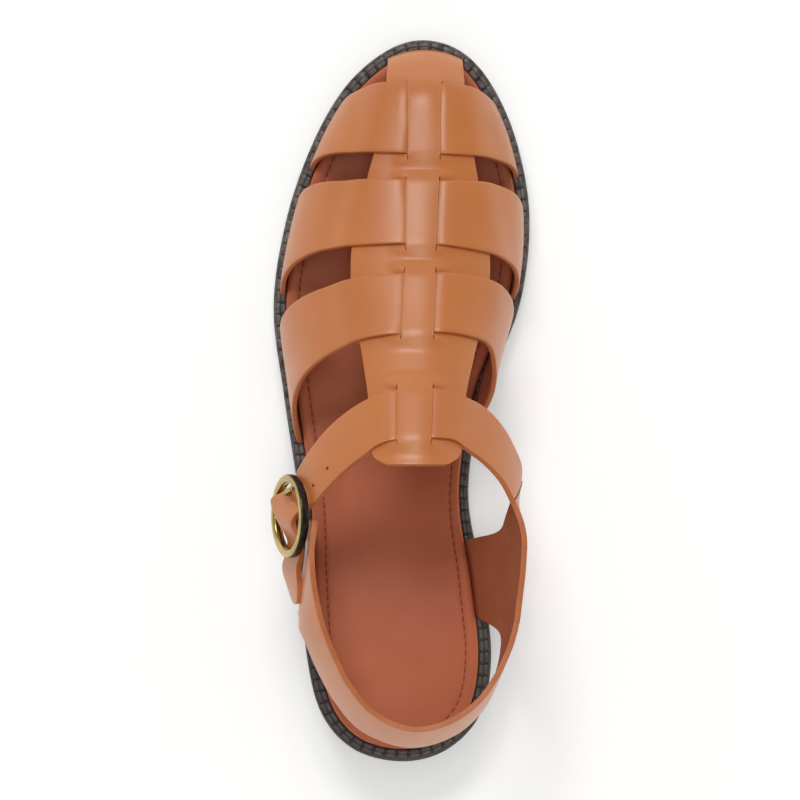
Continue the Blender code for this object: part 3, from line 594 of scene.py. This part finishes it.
SIDE = [(1.3, 0.0), (0.8, 0.04), (0.5, 0.12), (0.25, 0.3), (0.3, 0.46), (0.9, 0.49), (1.25, 0.53),
        (1.25, 0.61), (0.9, 0.65), (0.25, 0.68), (0.0, 0.75), (0.0, 0.9), (0.2, 0.96), (0.7, 1.0)]
outsole = solid("lugged_outsole", [loop(inset * RIB, out_at(share)) for inset, share in SIDE],
                ground, out_top)
cutters = []
for side in (-1, 1):
    for k in range(9):
        y = 0.06 * HALF_LENGTH + LUG_PITCH * k
        x = foot_x(side, min(y, 0.935 * HALF_LENGTH), 0.46 * LUG_REACH)
        cutters.append(groove(x, y, 2 * LUG_REACH, LUG_GROOVE, side * (-8 + 6.0 * k),
                              ground(y) - 1.5 * LUG_DEEP, ground(y) + LUG_DEEP))
for k in range(6):
    y = 0.11 * HALF_LENGTH + 1.15 * LUG_PITCH * k
    x = ridge_x(y) - 0.126 * HALF_BALL * (k < 3)
    for turn in (45, -45):
        cutters.append(groove(x, y, 1.3 * LUG_REACH, 0.9 * LUG_GROOVE, turn,
                              ground(y) - 1.5 * LUG_DEEP, ground(y) + LUG_DEEP))
cut(outsole, cutters)

HEEL_SIDE = [(1.3, 0.0), (0.7, 0.03), (0.2, 0.09), (0.1, 0.3), (0.3, 0.57), (0.9, 0.6), (1.25, 0.64),
             (1.25, 0.72), (0.9, 0.75), (0.3, 0.79), (0.2, 0.95), (0.5, 1.0)]
heel = solid("rubber_heel", [loop(inset * RIB, lambda y, share=share: share * HEEL_THICK)
                            for inset, share in HEEL_SIDE],
             lambda y: 0, lambda y: HEEL_THICK)
BREAST_Y = -0.525 * HALF_LENGTH
cutters = [groove(0, BREAST_Y + HALF_LENGTH, 3 * HALF_BALL, 2 * HALF_LENGTH, 0,
                  -HEEL_THICK, 2 * HEEL_THICK)]
for side in (-1, 1):
    for k in range(3):
        y = BREAST_Y - 1.2 * LUG_PITCH - 1.04 * LUG_PITCH * k
        x = foot_x(side, y, 0.3 * LUG_REACH)
        cutters.append(groove(x, y, 1.7 * LUG_REACH, LUG_GROOVE, side * (4 - 14 * k),
                              -LUG_DEEP, LUG_DEEP))
cutters.append(groove(0, -HALF_LENGTH, LUG_GROOVE, 1.4 * LUG_REACH, 0, -LUG_DEEP, LUG_DEEP))
for turn in (45, -45):
    cutters.append(groove(0, BREAST_Y - 2.1 * LUG_PITCH, 1.3 * LUG_REACH, 0.9 * LUG_GROOVE, turn,
                          -LUG_DEEP, LUG_DEEP))
cut(heel, cutters)
for item in (outsole, heel):
    item.data.shade_smooth()
    item.data.set_sharp_from_angle(angle=math.radians(40))


def board(low):
    return lambda y: welt_top(y) - WELT_THICK - GAP - low


midsole = solid("midsole_board",
                [loop(inset * RIB, board(share * MID_THICK))
                 for inset, share in [(1, 1), (0.6, 0.75), (0.6, 0.25), (1, 0)]],
                board(MID_THICK), board(0))

# welt: rounded outer lip, a channel with moulded stitches, an inner lip against the insole
WELT_SIDE = [(0.5, 2.7), (0.15, 2.4), (0.0, 1.9), (0.05, 1.2), (0.3, 0.75), (0.7, 0.55), (0.95, 0.6),
             (1.1, 0.95), (2.3, 0.95), (2.5, 0.5), (2.75, 0.1), (3.1, 0.0), (4.2, 0.0), (4.5, 0.2),
             (4.5, 2.7), (0.5, 2.7)]
welt = surface("storm_welt", [loop(inset * MM, lambda y, d=drop: welt_top(y) - d * MM)
                        for inset, drop in WELT_SIDE])
welt.data.shade_smooth()


def along_rim(pitch, inset, height):
    """Places spaced evenly round the sole at an inset: point, way along, way up.

    height is the function that gives their height at y."""
    fine = [rim(2 * math.pi * k / 1440, inset) for k in range(1441)]
    fine = [Vector((p.x, p.y, height(p.y))) for p in fine]
    total = sum((b - a).length for a, b in zip(fine, fine[1:]))
    count = round(total / pitch)
    step, gone, result = total / count, 0.0, []
    for a, b in zip(fine, fine[1:]):
        while gone <= (b - a).length and len(result) < count:
            way = (b - a).normalized()
            result.append((a + way * gone, way, Vector((0, 0, 1))))
            gone += step
        gone -= (b - a).length
    return result


def row_of(name, model, places):
    """Copies of a small piece at places, as one piece."""
    copies = []
    for point, way, up in places:
        one = model.copy()
        one.data = model.data.copy()
        bpy.context.scene.collection.objects.link(one)
        side = up.cross(way).normalized()
        turn = Matrix((way, side, way.cross(side))).transposed().to_4x4()
        one.data.transform(Matrix.Translation(point + MIDDLE) @ turn)
        copies.append(one)
    bpy.data.objects.remove(model, do_unlink=True)
    return join(name, copies)


def small_block(length, width, high, round_by):
    """Rounded block whose top is above its place by half its height."""
    bpy.ops.mesh.primitive_cube_add(size=1)
    item = take("model")
    item.data.transform(Matrix.Diagonal((length, width, high, 1)))
    change(item, "BEVEL", width=round_by, segments=2)
    item.data.shade_smooth()
    return item


# moulded stitches on the welt's outer half; between each two a dark notch on its inner half
steps = along_rim(WELT_PITCH, WELT_STITCH_IN, welt_top)
bead = small_block(0.0040, 0.0016, 0.0010, 0.0003)
bead.data.transform(Matrix.Translation((0, -0.0007, -0.0007)))
beads = row_of("welt_stitches", bead, steps)
tick = small_block(0.0011, 0.0019, 0.0006, 0.0002)
tick.data.transform(Matrix.Translation((WELT_PITCH / 2, 0.0007, -0.0001)))
ticks = row_of("welt_notches", tick, steps)


def seat(y):
    return welt_top(y) + INSOLE_RISE


# insole: a board wrapped in sock leather, stitched round inside its edge
BED = [(4.8, -5.9), (4.8, -2.0), (4.95, -1.3), (5.3, -0.6), (5.9, -0.15), (6.8, 0.0), (8.9, -0.1),
       (9.25, -0.3), (9.5, -0.38), (9.75, -0.3), (10.1, -0.16), (12.0, -0.3), (15.0, -0.55)]
edge = [loop(inset * MM, lambda y, d=drop: seat(y) + d * MM) for inset, drop in BED]
middle = [to_spine(edge[-1], share, lambda y, s=share: seat(y) - BED_DIP * (1 + ease(s)))
          for share in (0.2, 0.4, 0.6, 0.8, 1)]
insole = surface("sock_insole", edge + middle)
insole.data.shade_smooth()
stitch_line = row_of("insole_stitches", small_block(0.0021, 0.0004, 0.0004, 0.00015),
                     along_rim(STITCH_PITCH, STITCH_INSET, lambda y: seat(y) - 0.0003))


def centre(column, y):
    """x of a column of the centre strap's table at y."""
    return smooth(CENTRE, column, y / HALF_LENGTH) * HALF_BALL


def over_centre(point, edge):
    """Lift of a crossing strap: none on the last, over the margins, and down into the slots."""
    off = max(centre(1, point.y) - point.x, point.x - centre(2, point.y), 0)
    inside = min(point.x - centre(3, point.y), centre(4, point.y) - point.x)
    up = 1 - ease(off / MARGIN_FALL)
    # the strap's edges go down a little before the rest of it
    return STRAP_LIFT * up * (1 - ease((inside + 0.0003 * (1 + edge)) / SLOT_DIP)) + 0.00003


def cross_strap(name, rows):
    steps = [k / 30 for k in range(30)]
    stations = [(-1, w) for w in steps] + [(1, 1.0)] + [(1, w) for w in reversed(steps)]
    grid = []
    for side, w in stations:
        columns = (1, 2) if side < 0 else (3, 4)
        front, rear = [smooth(rows, column, w) * HALF_LENGTH for column in columns]
        grid.append([last(side, rear + (front - rear) * j / 8, w) for j in range(9)])
    return leather_wall(surface(name, lifted(grid, over_centre)))


crossing = [cross_strap(name, rows) for name, rows in STRAPS.items()]


# where straps cross under the band: front and rear of HALF_LENGTH
CROSSINGS = [rows[-1][1:3] for rows in STRAPS.values()] + [(0.024, -0.107)]


def band_share(y):
    """How far the band has risen over a crossing."""
    y, flat = y / HALF_LENGTH, 1
    for front, rear in CROSSINGS:
        risen = ease((front + BAND_AHEAD - y) / BAND_RISE)
        flat *= 1 - risen * ease((y - rear + BAND_BEHIND) / BAND_FALL)
    return 1 - flat


def beside_band(x, y):
    """Lift of the margins: drawn up with the band beyond its slots, flat under a crossing strap."""
    clear = min(max(y / HALF_LENGTH - front, rear - y / HALF_LENGTH) for front, rear in CROSSINGS)
    off = max(centre(3, y) - x, x - centre(4, y), 0)
    return band_share(y) * ease((clear - 0.002) / 0.009) * (1 - ease(off / TENT_REACH))


def strip(name, left, right, lift, columns):
    toe = [TOE_START + (TOE_END - TOE_START) * math.sin(math.radians(a))
           for a in (90, 82, 74, 66, 58, 50, 42, 34, 26, 18, 9)]
    end = CENTRE[0][0] * HALF_LENGTH
    places = toe + [TOE_START + (end - TOE_START) * k / 130 for k in range(131)]
    grid = []
    for y in places:
        low, high = centre(left, y), centre(right, y)
        line = []
        for j in range(columns + 1):
            x = low + (high - low) * j / columns
            hump = 1 - (2 * j / columns - 1) ** 2
            share = band_share(y) * (1 + 0.1 * hump) if lift else beside_band(x, y)
            point = on_last(x, y)
            point.z += share * LEATHER
            # the toe end is skived and lies a little further in
            point.y -= TOE_SETBACK * ease((y - TOE_START) / (TOE_END - TOE_START))
            line.append(point)
        grid.append(line)
    return surface(name, [[Vector((p.x, p.y, max(p.z, welt_top(p.y) - FOOT_TUCK))) for p in line]
                          for line in grid])


centre_strap = join("centre_strap", [strip("left_margin", 1, 3, False, 7),
                                     strip("band", 3, 4, True, 6),
                                     strip("right_margin", 4, 2, False, 7)])
edit(centre_strap, weld)
leather_wall(centre_strap)


def slot_edges():
    """Places of the pale cut fibres that show along the slots."""
    result = []
    for front, rear in CROSSINGS:
        for column in (3, 4):
            y = (front + 0.004) * HALF_LENGTH
            while y >= (rear - 0.002) * HALF_LENGTH:
                here, ahead = [on_last(centre(column, at), at) for at in (y, y - 0.001)]
                way = (ahead - here).normalized()
                here.z += (1 + band_share(y)) * LEATHER - 0.0001
                result.append((here, way, Vector((0, 0, 1))))
                y -= FIBRE_PITCH
    return result


fibres = row_of("slot_fibres", small_block(0.0006, 0.0004, 0.0006, 0.0001), slot_edges())


def between_rows(rows, fine):
    result = []
    for k in range(len(rows) - 1):
        near = [rows[min(max(k + j, 0), len(rows) - 1)] for j in (-1, 0, 1, 2)]
        for step in range(fine):
            result.append([catmull(*points, step / fine) for points in zip(*near)])
    return result + [rows[-1]]


ACROSS = 8


def edge_point(x, y, z):
    """Edge of the instep strap; it lies on the centre strap where z is 0."""
    if z:
        return Vector((x * HALF_BALL, y * HALF_LENGTH, z * STRAP_TOP))
    return on_last(x * HALF_BALL, y * HALF_LENGTH) + Vector((0, 0, STRAP_LIFT))


def bellied(top, bottom, outside, belly):
    shares = [j / ACROSS for j in range(ACROSS + 1)]
    return [top.lerp(bottom, s) + outside * belly(s) for s in shares]


def instep_rows():
    rows = []
    for *edges, belly in INSTEP:
        low, high = edge_point(*edges[:3]), edge_point(*edges[3:])
        outside = Vector(((low.x + high.x) / 2 - 0.1 * HALF_BALL, 0, 0.28 * STRAP_TOP)).normalized()
        rows.append(bellied(high, low, outside, lambda s: belly * LEATHER * 4 * s * (1 - s)))
    return rows


def collar_rows():
    rows = []
    for angle, x, y, z, belly, share in COLLAR:
        foot = rim(math.radians(angle), INSOLE_INSET - GAP)
        foot.z = welt_top(foot.y) + GAP
        top = Vector((x * HALF_BALL, y * HALF_LENGTH, z * RIM_TOP))
        behind = min((foot.y + top.y) / 2 + 0.69 * HALF_LENGTH, 0)
        outside = Vector((foot.x + top.x - 0.08 * HALF_BALL, behind, 0)).normalized()
        down = 1 - share
        rows.append(bellied(top, top.lerp(foot, down), outside,
                            lambda s: belly * LEATHER * 4 * s * down * (1 - s * down)))
    return rows


def under_band(point):
    """The instep strap dips into its slots under the centre band."""
    if point.y < -0.2 * HALF_LENGTH:
        return point
    inside = min(point.x - centre(3, point.y), centre(4, point.y) - point.x)
    return point - Vector((0, 0, STRAP_LIFT * ease((inside + 0.0008) / 0.0020)))


long_rows = [[under_band(point) for point in row]
             for row in between_rows(instep_rows() + collar_rows(), 6)]
long_band = leather_wall(surface("instep_and_heel_strap", long_rows))


def hole(item, x, y, radius):
    """Small punched hole at a plan position, square to the strap."""
    close = [v for v in item.data.vertices if (v.co.xy - Vector((x, y))).length < 0.0015]
    near = max(close, key=lambda v: v.co.z)
    turn = near.normal.to_track_quat("Z", "Y").to_euler()
    bpy.ops.mesh.primitive_cylinder_add(vertices=24, radius=radius, depth=0.006, location=near.co,
                                        rotation=turn)
    cut(item, [take("punch")])


for x, y in HOLES:
    hole(long_band, x, y, HOLE_RADIUS)


def seam(at, rows):
    """Stitches across the strap's outer side at a row."""
    result = []
    for k in range(SEAM_STITCHES):
        place = 0.4 + (ACROSS - 0.8) * k / (SEAM_STITCHES - 1)
        j, part = int(place), place - int(place)
        here, there = rows[at][j], rows[at][j + 1]
        way = (there - here).normalized()
        out = (rows[at + 1][j] - rows[at - 1][j]).cross(way).normalized()
        result.append((here.lerp(there, part) + out * LEATHER, way, out))
    return result


seams = row_of("quarter_stitches", small_block(0.0017, 0.0005, 0.0005, 0.0002), seam(SEAM_ROW, long_rows))


def in_ring(front, up, out):
    """Point in the ring's frame: front and up as shares of its radius, out in metres."""
    c, s = math.cos(RING_TILT), math.sin(RING_TILT)
    up *= RING_RADIUS
    return RING_AT + Vector((up * c - out * s, front * RING_RADIUS, up * s + out * c))


def on_limb(degrees, share=1.0, out=0.0):
    angle = math.radians(degrees)
    return in_ring(share * math.cos(angle), share * math.sin(angle), out)


# section of the ring: flat face, rounded shoulders, deep sides. columns: radial and outward in mm
SECTION = [(1.55, 0.0), (1.55, 0.8), (1.35, 1.25), (0.8, 1.5), (-0.6, 1.55), (-1.2, 1.25), (-1.5, 0.7),
           (-1.55, 0.0), (-1.5, -1.2), (-1.2, -1.8), (-0.6, -2.0), (0.6, -2.0), (1.2, -1.8),
           (1.5, -1.2), (1.55, 0.0)]
ring = surface("round_buckle", [[on_limb(-3.75 * k, 1 + a * MM / RING_RADIUS, b * MM)
                                for a, b in SECTION] for k in range(97)])
edit(ring, lambda: bpy.ops.mesh.normals_make_consistent(inside=False))
ring.data.materials.append(bright_brass)
ring.data.materials.append(dark_brass)
# faces on the ring's outer side take the darker brass
axis = in_ring(0, 0, 1) - RING_AT
for face in ring.data.polygons:
    away = face.center - RING_AT - MIDDLE
    if (away - axis * away.dot(axis)).length > RING_RADIUS + 0.00115:
        face.material_index = 1
change(ring, "SUBSURF", levels=1)
ring.data.shade_smooth()

EYE = CENTRE_BAR + GAP + PRONG_BAR
OVER = RING_BAR + GAP + PRONG_BAR
PRONG = [
    (0.340, 0.010, -1.89),
    (0.519, 0.015, -2.11),
    (0.578, -0.074, -0.73),
    (0.600, 0.020, 0.50),
    (0.650, 0.230, 0.95),
    (0.740, 0.500, 0.70),
]


def tube(name, points, radius, sides=20):
    """Round bar along points with a domed end."""
    grid, beside = [], Vector((0.5, 0.2, 1))
    for i, at in enumerate(points):
        ahead = (points[min(i + 1, len(points) - 1)] - points[max(i - 1, 0)]).normalized()
        side = ahead.cross(beside).normalized()
        up = side.cross(ahead)
        for back, share in (((1, 0), (0.85, 0.55), (0.5, 0.87)) if i == 0 else ((0, 1),)):
            turns = [2 * math.pi * j / sides for j in range(sides + 1)]
            grid.append([at - ahead * back * radius + (side * math.cos(b) + up * math.sin(b))
                         * radius * share for b in turns])
        if i == len(points) - 1:
            for back, share in ((0.5, 0.87), (0.85, 0.55), (1, 0)):
                grid.append([at + ahead * back * radius + (side * math.cos(b) + up * math.sin(b))
                             * radius * share for b in turns])
    item = surface(name, grid)
    edit(item, lambda: bpy.ops.mesh.normals_make_consistent(inside=False))
    item.data.shade_smooth()
    return item


start = in_ring(0.98 * EYE / RING_RADIUS, 0, -BAR_SINK - 0.18 * EYE)
path = between_rows([[start]] + [[in_ring(front, up, out * OVER)] for front, up, out in PRONG], 8)
bar = tube("bar", [row[0] for row in path], PRONG_BAR)
bpy.ops.mesh.primitive_torus_add(major_radius=EYE, minor_radius=PRONG_BAR, major_segments=32,
                                 minor_segments=16, location=in_ring(0, 0, -BAR_SINK) + MIDDLE,
                                 rotation=(0, math.pi / 2 - RING_TILT, 0))
eye = take("eye")
eye.data.transform(eye.matrix_world)
eye.matrix_world = Matrix.Identity(4)
eye.data.shade_smooth()
prong = join("prong_and_eye", [bar, eye])

# centre bar, sunk behind the ring's plane
sunk = [(0.97, 0.18), (0.88, 0.6), (0.72, 1.0), (0.3, 1.0)]
sunk += [(-up, depth) for up, depth in reversed(sunk)]
line = between_rows([[in_ring(0, up, -depth * BAR_SINK)] for up, depth in sunk], 6)
cross = tube("centre_bar", [row[0] for row in line], CENTRE_BAR)

# loop: leather folded round the centre bar, slotted for the eye, its tab on the quarter
HALF_LOOP = 0.25 * RING_RADIUS
SLOT = PRONG_BAR + GAP


def sleeve_row(up, share):
    radius = CENTRE_BAR + GAP + SLEEVE_WALL * share
    turns = [2 * math.pi * j / 32 for j in range(33)]
    return [in_ring(radius * math.cos(b) / RING_RADIUS, up / RING_RADIUS,
                    -BAR_SINK + radius * math.sin(b)) for b in turns]


def sleeve(name, low, high):
    rows = [(low, 0.0), (low, 0.7), (low + 0.0002, 1.0), (high - 0.0002, 1.0), (high, 0.7), (high, 0.0),
            (low, 0.0)]
    item = surface(name, [sleeve_row(*row) for row in rows])
    edit(item, lambda: bpy.ops.mesh.normals_make_consistent(inside=False))
    return item


def ply(size, front, up, out):
    """One thickness of the loop's leather behind the centre bar."""
    item = small_block(*size, 0.0005)
    item.data.transform(Matrix.Translation(in_ring(front, up, out - BAR_SINK) + MIDDLE)
                        @ Matrix.Rotation(-RING_TILT - TAB_TURN, 4, "Y"))
    return item


plies = [ply((1.3 * HALF_LOOP, TAB_REACH, TAB_THICK), -0.0044 / RING_RADIUS, 0, -TAB_SINK),
         ply((0.0040, 0.0080, 0.0013), -0.311, 0.133, 0.0006)]
buckle_loop = join("folded_loop", [sleeve("sleeve", SLOT, HALF_LOOP),
                                   sleeve("sleeve_low", -HALF_LOOP, -SLOT), *plies])
buckle_loop.data.shade_smooth()

# finishes and places of the pieces: material, node that it stands for, material slot, which nothing reads
PIECES = [
    (outsole, black_rubber, ["outsole"], "outsole"),
    (heel, black_rubber, ["heel_block"], "outsole"),
    (midsole, black_rubber, ["midsole"], "midsole"),
    (welt, welt_rubber, ["welt"], "welt"),
    (beads, welt_rubber, [], "welt"),
    (ticks, black_rubber, [], "welt"),
    (insole, sock, ["insole"], "insole"),
    (stitch_line, thread, [], "insole"),
    (centre_strap, None, ["upper"], "strap_leather"),
    (long_band, None, [], "strap_leather"),
    (fibres, raw_edge, [], "strap_leather"),
    (seams, thread, [], "strap_leather"),
    (ring, None, ["buckle_ring"], "buckle_metal"),
    (cross, dark_brass, [], "buckle_metal"),
    (prong, bright_brass, ["buckle_prong"], "buckle_metal"),
    (buckle_loop, calf, ["buckle_loop"], "strap_leather"),
]
PIECES += [(strap, None, [], "strap_leather") for strap in crossing]
for item, finish, nodes, slot in PIECES:
    if finish:
        item.data.materials.clear()
        item.data.materials.append(finish)
    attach(item, "root")
    if nodes:
        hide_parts(*nodes)

# floor, light and camera
bpy.ops.mesh.primitive_plane_add(size=6)
floor = take("floor")
paper = material("pale_paper_floor", "#f4f3f1", "#f2f1ef", 0.3, 0.002, 0.00001, 0.9)
paper.node_tree.nodes["Principled BSDF"].inputs["Emission Color"].default_value = (1, 1, 1, 1)
paper.node_tree.nodes["Principled BSDF"].inputs["Emission Strength"].default_value = 0.3
floor.data.materials.append(paper)


def lamp(name, place, size, power):
    bpy.ops.object.light_add(type="AREA", location=place)
    light = take(name)
    light.data.shape = "RECTANGLE"
    light.data.size, light.data.size_y = size
    light.data.energy = power
    light.rotation_euler = (-Vector(place)).to_track_quat("-Z", "Y").to_euler()


lamp("key", (-0.2, 1.2, 1.7), (0.8, 0.6), 17)
lamp("overhead", (0.0, 0.0, 2.1), (0.45, 1.2), 9)
lamp("heel", (0.0, -1.3, 1.3), (0.9, 0.25), 3)
world = bpy.context.scene.world or bpy.data.worlds.new("studio")
bpy.context.scene.world = world
world.use_nodes = True
# a studio with bright walls and a darker ceiling
sky = world.node_tree.nodes["Background"]
sky.inputs["Color"].default_value = (1, 1, 1, 1)
toward = add(world.node_tree, "SeparateXYZ",
             {0: add(world.node_tree, "TexCoord").outputs["Generated"]})
light = add(world.node_tree, "MapRange", {"Value": toward.outputs["Z"], "From Min": 0.05,
                                          "From Max": 0.75, "To Min": 0.95, "To Max": 0.12})
world.node_tree.links.new(light.outputs["Result"], sky.inputs["Strength"])
bpy.context.scene.view_settings.view_transform = "Standard"

bpy.ops.object.camera_add(location=(0, 0, 1.7), rotation=(0, 0, 0))
camera = take("camera")
# the picture shows 148 mm to each side of the middle, 15 mm above the floor
camera.data.angle = 2 * math.atan(0.148 / 1.685)
bpy.context.scene.camera = camera
